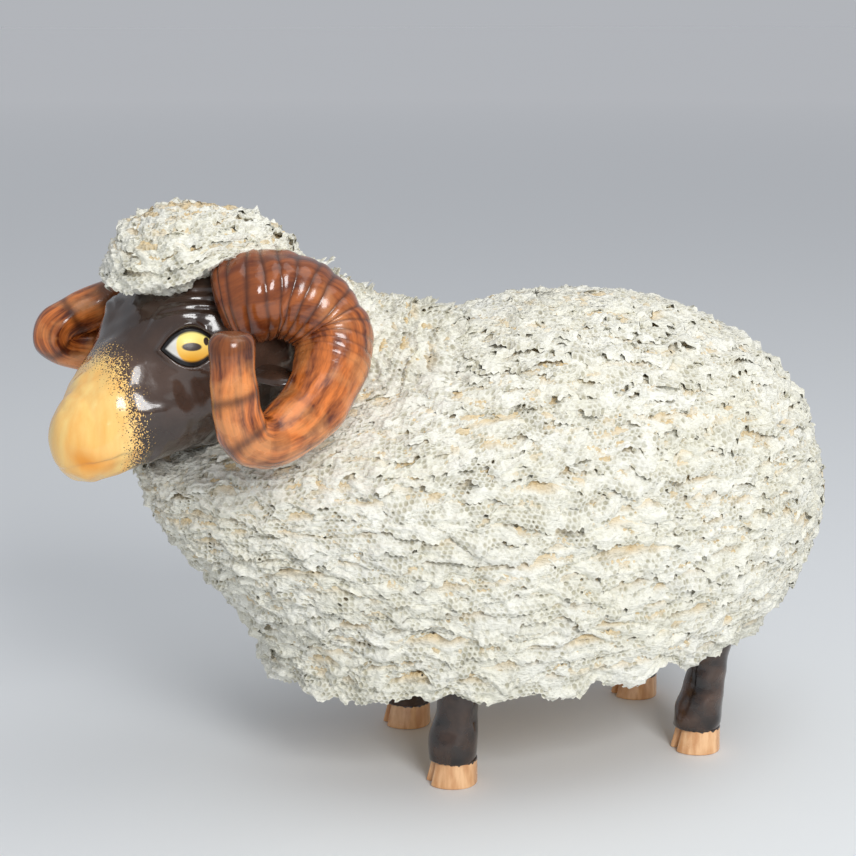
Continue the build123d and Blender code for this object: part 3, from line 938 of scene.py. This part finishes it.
def build_eye(hand, name):
    """A shallow dome with the distances that its painting needs."""
    middle, along, up, out = eye_axes(hand)
    steps = 72
    grid = np.linspace(-1, 1, steps)
    x, y = [value.reshape(-1) for value in np.meshgrid(grid * 11.0, grid * 6.6)]
    rim = np.abs(y) / EYE_HALF_TALL + (x / EYE_HALF_LONG) ** 2
    depth = np.sqrt(EYE_RADIUS**2 - x * x * 0.92 - y * y) - EYE_SINK - 4.0 * ease(1.02, 1.3, rim)
    points = middle + np.outer(x, along) + np.outer(y, up) + np.outer(depth, out)
    faces = []
    for row in range(steps - 1):
        for column in range(steps - 1):
            corner = row * steps + column
            faces.append((corner, corner + 1, corner + steps + 1, corner + steps))
    iris = np.sqrt(((x + 0.8) / 5.5) ** 2 + ((y - 0.2) / 5.6) ** 2)
    pupil = np.sqrt(((x - 0.1) / 3.0) ** 2 + ((y + 0.1 - 0.05 * x) / 1.25) ** 2)
    # A small painted dark glint beside the pupil, painted in the pupil's colour.
    painted_glint = np.sqrt(((x + 4.6) / 0.9) ** 2 + ((y - 1.4) / 1.3) ** 2)
    fall = np.clip((y + 4) / 7, 0, 1)
    paint = {"iris": iris, "pupil": np.minimum(pupil, painted_glint), "rim": rim, "iris_fall": fall}
    make_piece(f"{name}_dome", points, faces, eye_finish, "eye_glaze", name, **paint)


eye_finish = build_eye_finish()
for hand, name in ((1, "left_eye"), (-1, "right_eye")):
    build_eye(hand, name)
print("eyes set")

# %% [markdown]
# ## The horns
# A horn is a round section carried along a spiral. Growth rings are deep and close near the root and fade to
# soft bands further on, so the radius is varied along the way. Painting the way along and round the horn on
# its points lets the glaze streak along it, and darken in the grooves, in two bands and on the tip.

# %% Carry a section along the horn
# Each place gives the distance ahead, to the side and above the ground, and the section's radius.
NEAR_CURL = np.array(
    [
        (27.2, 18.6, 169.6, 10.5), (24.9, 20.8, 170.5, 13), (20.3, 25.5, 171.8, 13.8),
        (12.3, 30, 171.7, 13.5), (5.4, 35, 167.6, 12.9), (1.6, 39, 161.4, 12.2), (2.8, 42.5, 155.2, 11.8),
        (7.5, 45.5, 148.5, 11.3), (14.1, 48, 142, 10.4), (22.1, 50, 137.4, 9.5), (34.2, 52.5, 133.3, 8.2),
        (43.4, 53.5, 135.9, 7.5), (47, 54, 142.8, 7.0), (47.8, 54, 150.9, 6.8), (48.1, 54, 158.2, 6.7),
        (48.1, 54, 163, 6.6),
    ]
)
FAR_CURL = np.array(
    [
        (27.2, 18.6, 169.2, 10.5), (24.9, 20.8, 170, 13), (21, 25.5, 171, 13.6), (13.1, 30, 168.9, 13.5),
        (5.4, 35, 162.5, 12.9), (2.5, 40, 154.3, 11.7), (5.5, 44, 147.8, 10.0), (12.7, 47.5, 144.3, 8.6),
        (21.9, 50, 144, 7.7), (30.4, 52, 145.2, 7.3), (37.9, 53.5, 146.2, 7.1), (43.5, 54, 147.8, 7.0),
        (46, 54, 151, 7.0), (44, 53.5, 154.6, 7.0), (38, 52, 157.6, 7.0), (30, 50, 161, 7.0),
    ]
)
RING_GAP, RINGS_DEEP, RINGS_GONE = 3.5, 32, 60
TIP_START, TIP_LENGTH, TIP_SPAN, TIP_POWER = 0.99, 0.075, 0.0755, 3.2


def horn_path(curl, share):
    """Places and radii along a horn, with a little past its last place for the rounded tip."""
    stations = np.linspace(0, 1, len(curl))
    values = [smooth_through(stations, curl[:, column], np.clip(share, 0, 1)) for column in range(4)]
    path = np.stack(values[:3], 1)
    over = np.clip(share - 1, 0, None)[:, None]
    way = curl[-1, :3] - curl[-2, :3]
    return path + over * way * (len(curl) - 1), values[3]


def build_horn(hand, name, curl):
    """A ridged spiral of round sections along its own path."""
    rings, around, tip_rings = 520, 84, 30
    share = np.linspace(0, TIP_START, rings - tip_rings)
    rounding = np.sin(np.linspace(0.05, pi / 2, tip_rings))
    share = np.concatenate([share, TIP_START + TIP_LENGTH * rounding])
    path, radius = horn_path(curl, share)
    way = unit_rows(np.gradient(path, axis=0))
    length = length_along(path)
    across = unit_rows(np.array([0, 1.0, 0]) - way * way[:, 1:2])
    third = np.cross(way, across)
    tip = np.clip((share - TIP_START) / TIP_SPAN, 0, 1)
    radius = radius * (1 - tip**TIP_POWER) ** (1 / TIP_POWER)
    turn = turns_round(around)
    on_way = length[:, None]
    ringed = 1 - ease(RINGS_DEEP, RINGS_GONE, on_way)
    lean = on_way / RING_GAP + 0.12 * np.sin(turn + on_way / 9) + 0.3 * np.sin(on_way / 7)
    ridge = np.abs(np.sin(pi * lean)) ** 0.8 - 0.7
    band = np.sin(on_way / 3.1 + 1.4 * np.sin(on_way / 11)) + 0.4 * np.sin(turn + on_way / 8)
    swell = radius[:, None] + 0.45 * ridge * ringed
    swell += 0.16 * band * (1 - ringed) * (1 - tip[:, None])
    points = (
        path[:, None, :]
        + swell[..., None] * np.cos(turn)[None, :, None] * across[:, None, :]
        + swell[..., None] * np.sin(turn)[None, :, None] * third[:, None, :]
    ).reshape(-1, 3)
    points[:, 1] *= hand
    placed = head_point(*points.T)
    placed = placed + 0.22 * np.stack([crumple(placed, 12, 71 + axis) for axis in range(3)], 1)
    faces = ring_faces(rings, around)
    if hand > 0:
        faces = [face[::-1] for face in faces]
    to_tip = (length[-1] - length)[:, None] + 1.4 * np.sin(turn + 0.8)
    marks = mound((to_tip - 19) / 1.5) + mound((to_tip - 30) / 1.3) + ease(13, 4, to_tip)
    groove = np.clip(-ridge * 1.25, 0, 0.8) * ringed + 0.25 * ease(0.75, 1.15, -band) * (1 - ringed)
    paint = {"groove": np.clip(groove + 0.7 * marks, 0, 0.85).reshape(-1)}
    paint["way"] = np.repeat(length / RINGS_GONE, around)
    paint["round_x"] = np.tile(np.cos(turn), rings)
    paint["round_y"] = np.tile(np.sin(turn), rings)
    make_piece(f"{name}_ridged", placed, faces, horn_finish, "horn_glaze", name, **paint)


# %% [markdown]
# The horn glaze is russet, thin enough to show brush streaks that run along the horn. It gathers dark in the
# grooves and at the root, and thins to orange in clouds, under a clear coat.


# %% Mix the horn glaze and build the horns
def build_horn_finish():
    """Streaked russet glaze, dark in the growth grooves."""
    material, tree, shader = new_finish("horn_glaze", Coat_Weight=0.3, Coat_Roughness=0.05)
    pool = place_group(tree, glaze_pooling, Cloud=95.0, Pitting=600.0)
    way = stretch(tree, painted(tree, "way"), 0.0, 10.0, 0.0, 11.0)
    lay = add_node(tree, "CombineXYZ", X=painted(tree, "round_x"), Y=painted(tree, "round_y"), Z=way)
    streak = add_node(tree, "TexNoise", Vector=lay.outputs[0], Scale=3.4, Detail=6.0, Roughness=0.6)
    share = stretch(tree, streak.outputs["Fac"], 0.39, 0.62)
    russet = blend_colours(tree, share, (0.12, 0.022, 0.005, 1), (0.72, 0.20, 0.04, 1))
    thin = stretch(tree, pool.outputs["Share"], 0.45, 0.95, 0.0, 0.6)
    orange = blend_colours(tree, thin, russet, (0.86, 0.36, 0.12, 1))
    root = stretch(tree, painted(tree, "way"), 0.1, 1.1, 0.8, 0.0)
    deeper = blend_colours(tree, root, orange, (0.13, 0.03, 0.009, 1))
    colour = blend_colours(tree, painted(tree, "groove"), deeper, (0.045, 0.012, 0.005, 1))
    glaze_surface(tree, shader, colour, pool, 0.0001)
    return material


horn_finish = build_horn_finish()
for hand, name, curl in ((1, "left_horn", NEAR_CURL), (-1, "right_horn", FAR_CURL)):
    build_horn(hand, name, curl)
print("horns curled")

# %% [markdown]
# ## The ears, legs and hooves
# The ears are small cupped leaves that show inside the horns' curls. The legs are plain tapered columns with
# a swelling at the fetlock. The hooves are low, split in front, and glazed tan with brushed streaks.


# %% Mix the dark and tan glazes
def build_dark_finish():
    """The dark glaze of the legs and ears, thin and brown in clouds."""
    material, tree, shader = new_finish("leg_glaze", Coat_Weight=0.5, Coat_Roughness=0.07)
    pool = place_group(tree, glaze_pooling, Cloud=110.0, Pitting=500.0)
    colour = blend_colours(tree, pool.outputs["Share"], (0.008, 0.005, 0.004, 1), (0.085, 0.045, 0.028, 1))
    glaze_surface(tree, shader, colour, pool, 0.00015)
    return material


def build_hoof_finish():
    """Tan glaze with upright streaks that darkens to the leg at its top."""
    material, tree, shader = new_finish("hoof_glaze", Coat_Weight=0.5)
    pool = place_group(tree, glaze_pooling, Cloud=160.0, Pitting=500.0)
    share = stretch(tree, drawn_noise(tree, 0.2, 420.0, 4.0), 0.35, 0.65)
    tan = blend_colours(tree, share, (0.66, 0.32, 0.13, 1), (0.92, 0.56, 0.29, 1))
    dots = place_group(tree, sponged_dots, Mask=painted(tree, "coronet"), Dots=700.0)
    colour = blend_colours(tree, dots.outputs["Mask"], tan, (0.03, 0.018, 0.012, 1))
    glaze_surface(tree, shader, colour, pool, 0.0001)
    return material


dark_finish = build_dark_finish()
hoof_finish = build_hoof_finish()
print("finishes:", dark_finish.name, hoof_finish.name)


# %% Build the ears
def build_ear(hand, name):
    """A cupped leaf from the head's side to its tip."""
    root = np.array([21.0, 22.0, 149.0])
    tip = np.array([12.5, 40.0, 146.0])
    rings, around = 60, 40
    share = np.linspace(0, 1, rings)
    width = smooth_through((0, 0.45, 0.8, 1), (0.7, 1, 0.72, 0.04), share)
    turn = turns_round(around)
    line = root + np.outer(share, tip - root)
    way = (tip - root) / np.linalg.norm(tip - root)
    flat = np.cross(way, np.array([0, 0.35, 1.0]))
    flat /= np.linalg.norm(flat)
    thick = np.cross(way, flat)
    broad = 6.3 * width[:, None] * np.cos(turn)
    cup = 1.6 * width[:, None] * (np.cos(turn) ** 2 - 0.5)
    deep = 1.5 * width[:, None] * np.sin(turn) + cup
    points = (line[:, None, :] + broad[..., None] * flat + deep[..., None] * thick).reshape(-1, 3)
    points[:, 1] *= hand
    placed = head_point(*points.T)
    make_piece(f"{name}_leaf", placed, ring_faces(rings, around), dark_finish, "dark_glaze", name)


for hand, name in ((1, "left_ear"), (-1, "right_ear")):
    build_ear(hand, name)
print("ears set")


# %% Build the legs and hooves
LEG_HEIGHTS = (8.8, 14, 20, 27, 38, 49)
HOOF_TALL, HOOF_REAR, HOOF_FORE, HOOF_WIDE, HOOF_SPLIT = 9.2, 7.5, 10.3, 8.5, 5.2


def stack_rings(x, y, height):
    """Points of level rings, one above the other."""
    return np.stack(np.broadcast_arrays(x, y, height[:, None]), -1).reshape(-1, 3)


def build_leg(corner, hoof_x, hoof_y, lean):
    """A tapered column with a swelling at the fetlock."""
    rings, around = 90, 56
    height = np.linspace(LEG_HEIGHTS[0], LEG_HEIGHTS[-1], rings)
    fore = smooth_through(LEG_HEIGHTS, (9.3, 9.6, 8.2, 6.7, 6.9, 8.5), height)
    rear = smooth_through(LEG_HEIGHTS, (7.0, 7.3, 7.2, 7.2, 7.5, 9.0), height)
    wide = smooth_through(LEG_HEIGHTS, (7.6, 8.0, 7.4, 6.7, 7.1, 8.5), height)
    turn = turns_round(around)
    middle = hoof_x + lean * (height - 9) / 39
    x = middle[:, None] + np.where(np.cos(turn) > 0, rear[:, None], fore[:, None]) * np.cos(turn)
    points = stack_rings(x, hoof_y + wide[:, None] * np.sin(turn), height)
    points[:, :2] += 0.22 * np.stack([crumple(points, 11, 81), crumple(points, 11, 82)], 1)
    faces = ring_faces(rings, around)
    make_piece(f"{corner}_column", points, faces, dark_finish, "dark_glaze", f"{corner}_leg")


def build_hoof(corner, hoof_x, hoof_y):
    """A low hoof, split in front, with rounded edges."""
    rings, around = 40, 120
    level = np.linspace(0, 1, rings)
    height = HOOF_TALL * level
    edge = np.minimum(np.minimum(level / 0.07, (1 - level) / 0.06), 1)
    shrink = (1 - 0.14 * level) * (1 - 0.07 * (1 - np.sqrt(1 - (1 - edge) ** 2)))
    turn = turns_round(around)
    plan_y = HOOF_WIDE * np.sin(turn)
    split = mound(plan_y / 1.25) * (np.cos(turn) < 0)
    plan_x = np.where(np.cos(turn) > 0, HOOF_REAR, HOOF_FORE) * np.cos(turn) + HOOF_SPLIT * split
    x = hoof_x + shrink[:, None] * plan_x + 0.9 * level[:, None]
    points = stack_rings(x, hoof_y + shrink[:, None] * plan_y, height)
    coronet = np.repeat(ease(0.84, 0.97, level), around)
    faces = ring_faces(rings, around)
    make_piece(
        f"{corner}_toes", points, faces, hoof_finish, "hoof_glaze", f"{corner}_hoof", coronet=coronet
    )


# Each foot gives its hoof's place along and across the body, and how far the leg leans.
feet = {
    "front_left": (-11.4, -21.6, 1.0),
    "front_right": (-11.4, 31.6, 1.0),
    "rear_left": (80.5, -21.6, 4.0),
    "rear_right": (80.5, 31.6, 4.0),
}
for corner, (hoof_x, hoof_y, lean) in feet.items():
    build_leg(corner, hoof_x, hoof_y, lean)
    build_hoof(corner, hoof_x, hoof_y)
print("legs stand")

# %% [markdown]
# ## The clay under the lace
# The barrel and the neck stay as the CAD solids. Little of them shows, only ochre clay in the gaps between
# strips, so a matt clay finish with clouds of colour is enough.


# %% Give the clay core its finish
def build_clay_finish():
    """Ochre clay with darker clouds."""
    material, tree, shader = new_finish("ochre_clay")
    pool = place_group(tree, glaze_pooling, Cloud=70.0, Pitting=300.0)
    colour = blend_colours(tree, pool.outputs["Share"], (0.42, 0.25, 0.09, 1), (0.62, 0.43, 0.2, 1))
    tree.links.new(colour, shader.inputs["Base Color"])
    rough = stretch(tree, pool.outputs["Height"], 0.3, 0.7, 0.55, 0.8)
    tree.links.new(rough, shader.inputs["Roughness"])
    add_relief(tree, shader, pool.outputs["Height"], 0.0004)
    return material


clay_finish = build_clay_finish()
for name in ("body_core", "neck_core"):
    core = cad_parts[name]
    core.data.materials.clear()
    core.data.materials.append(clay_finish)
print("core finished")
